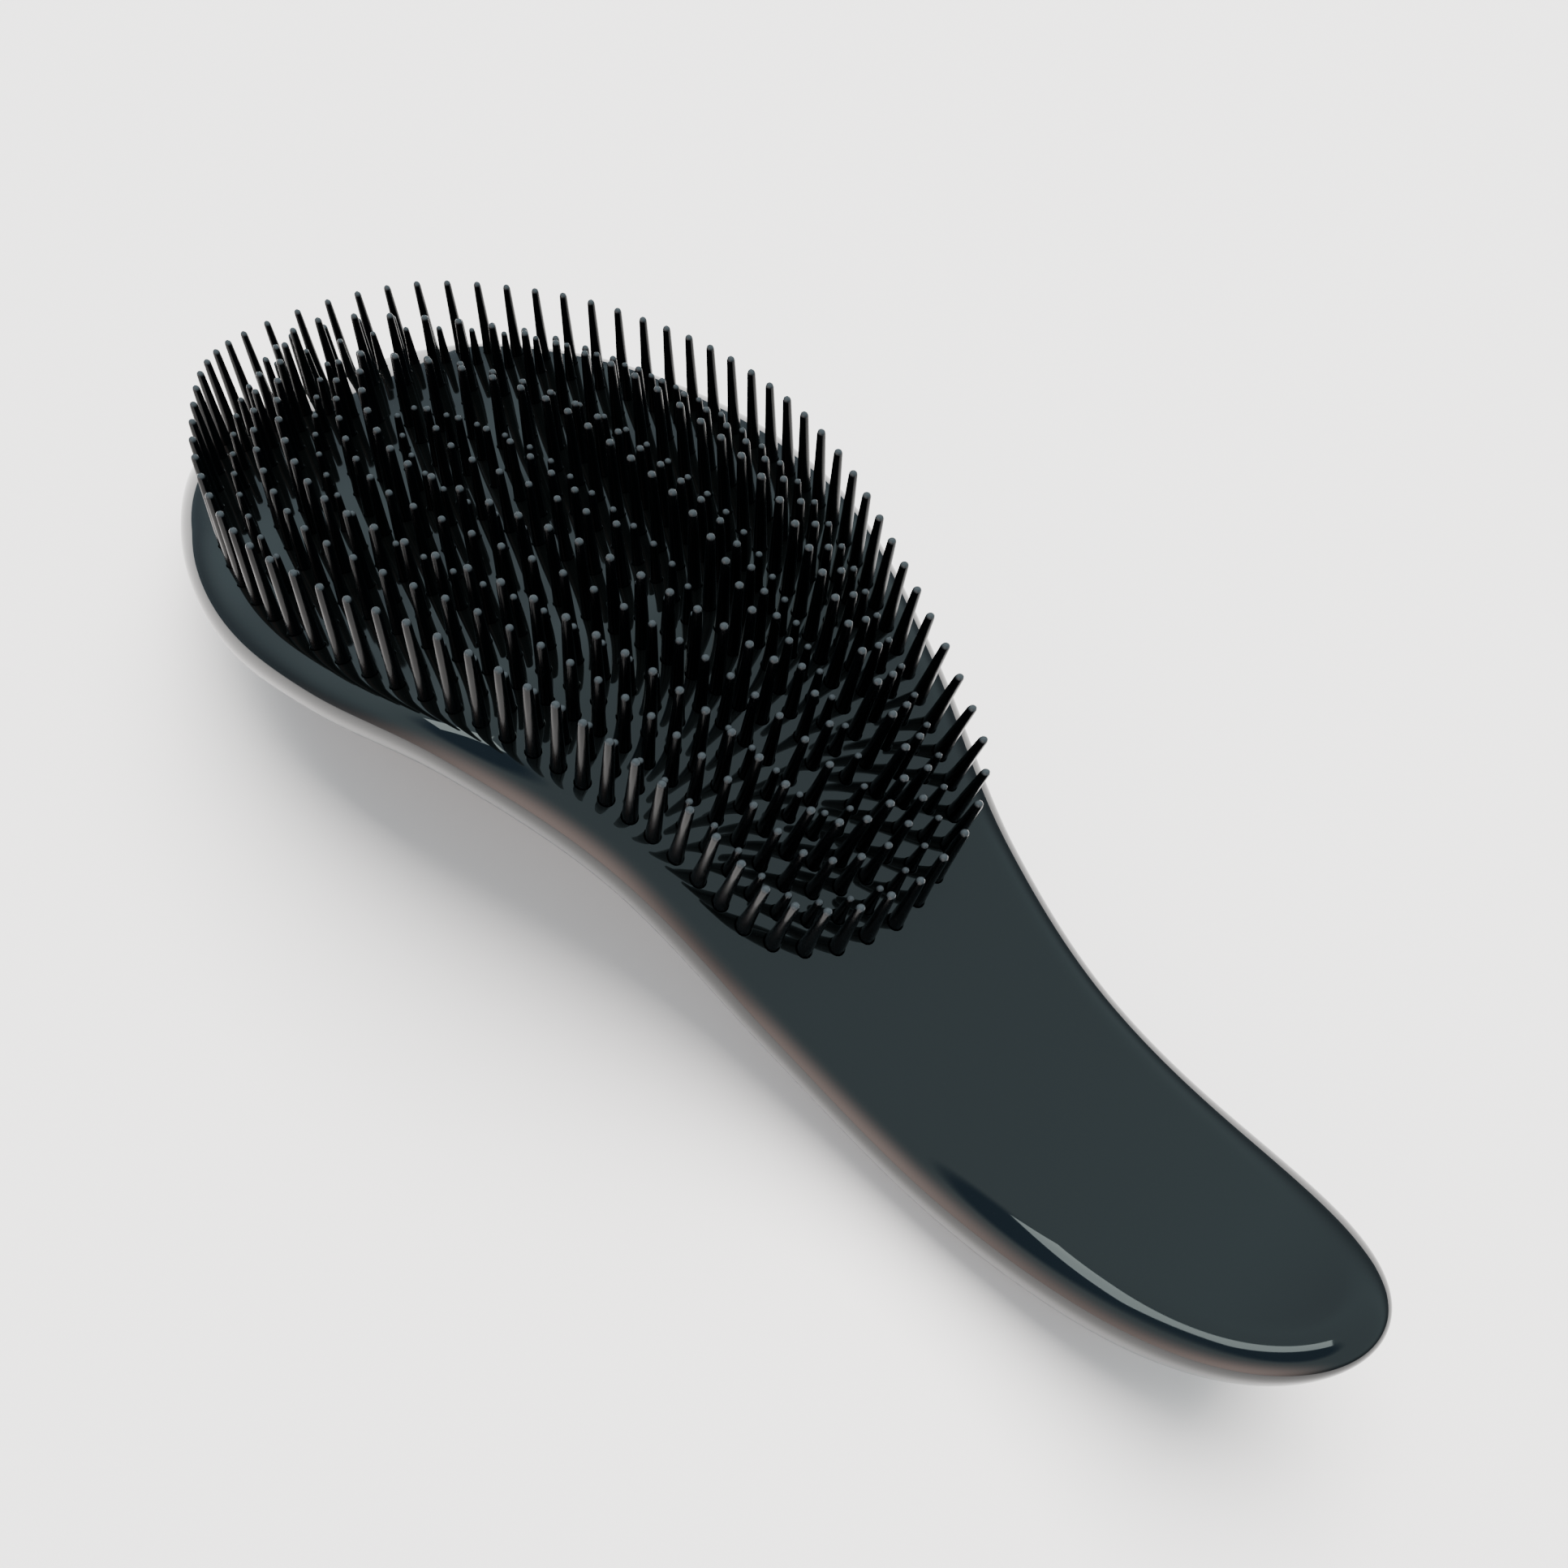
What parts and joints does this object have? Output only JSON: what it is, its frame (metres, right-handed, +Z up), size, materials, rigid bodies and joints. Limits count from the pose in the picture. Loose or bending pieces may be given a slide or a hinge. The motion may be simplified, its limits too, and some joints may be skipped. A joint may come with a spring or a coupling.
{
  "type": "hair brush",
  "caption": "Detangling hair brush with an S-curved glossy body, a broad oval head with concentric rows of nylon pins, and a waisted grip.",
  "frame": {"origin": "bottom centre of the bounding box, on the surface the brush lies on, pins up", "axes": "+X from the handle end to the head end, +Z up out of the pinned face, +Y across the brush"},
  "size_m": [0.1868, 0.0682, 0.0431],
  "materials": {
    "gloss_body": "mirror gloss black",
    "nylon_pins": "satin gloss black nylon"
  },
  "bodies": {
    "root": {"front_body": "gloss_body", "bristle_mat": "nylon_pins", "back_shell": "gloss_body"}
  },
  "joints": []
}
